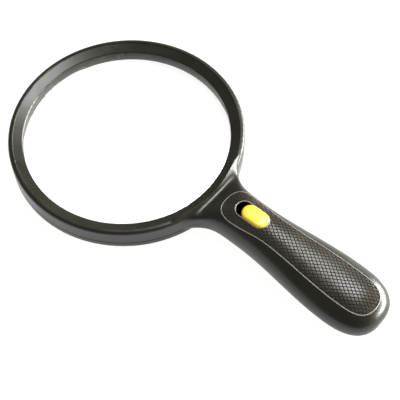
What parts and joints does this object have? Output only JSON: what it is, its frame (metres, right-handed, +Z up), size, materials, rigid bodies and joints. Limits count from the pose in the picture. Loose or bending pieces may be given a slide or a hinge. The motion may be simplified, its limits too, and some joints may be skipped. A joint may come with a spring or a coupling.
{
  "type": "low vision magnifier",
  "caption": "Large round hand magnifier with a moulded ring and curved grip, textured inlay, slide switch, built-in lamps and a battery bay in the tail.",
  "frame": {"origin": "middle of the footprint, on the plane that the ring rests on", "axes": "+X from the lens along the grip to its tail, +Z up out of the front of the lens, +Y across"},
  "size_m": [0.2778, 0.153, 0.0257],
  "materials": {
    "shell_plastic": "satin, slightly warm charcoal",
    "lens_plastic": "clear, polished",
    "inlay_plastic": "satin, fine diamond relief",
    "button_plastic": "glossy yellow",
    "actuator_plastic": "plain",
    "contact_brass": "plain",
    "case_steel": "tinned sheet",
    "board": "green varnish",
    "resistor_ceramic": "plain",
    "lamp_glass": "clear moulded",
    "wire_jacket": "plain",
    "cell_jacket": "plain printed sleeve",
    "contact_steel": "nickel plated",
    "screw_steel": "plated"
  },
  "bodies": {
    "casing": {"front_shell": "shell_plastic", "rear_shell": "shell_plastic", "main_lens": "lens_plastic", "grip_inlay": "inlay_plastic", "switch_case": "case_steel", "switch_terminals": "contact_brass", "circuit_board": "board", "resistors": "resistor_ceramic", "lamps": "lamp_glass", "lamp_board": "board", "lamp_wires": "wire_jacket", "battery_wires": "wire_jacket", "battery_1": "cell_jacket", "battery_2": "cell_jacket", "battery_3": "cell_jacket", "positive_contact": "contact_steel", "front_bridge": "contact_steel", "rear_bridge": "contact_steel", "negative_contact": "contact_steel", "battery_springs": "contact_steel", "case_screws": "screw_steel", "board_screws": "screw_steel"},
    "switch": {"switch_button": "button_plastic", "switch_actuator": "actuator_plastic", "switch_wiper": "contact_brass"},
    "door": {"battery_door": "shell_plastic"}
  },
  "joints": [
    {"name": "switch_slide", "type": "slide", "parent": "casing", "child": "switch", "axis": [-1, 0, 0], "range_m": [0, 0.0046]},
    {"name": "door_hinge", "type": "hinge", "parent": "casing", "child": "door", "pos_m": [0.08084, 0, 0.0003], "axis": [0, 1, 0], "range_deg": [0, 75]}
  ]
}
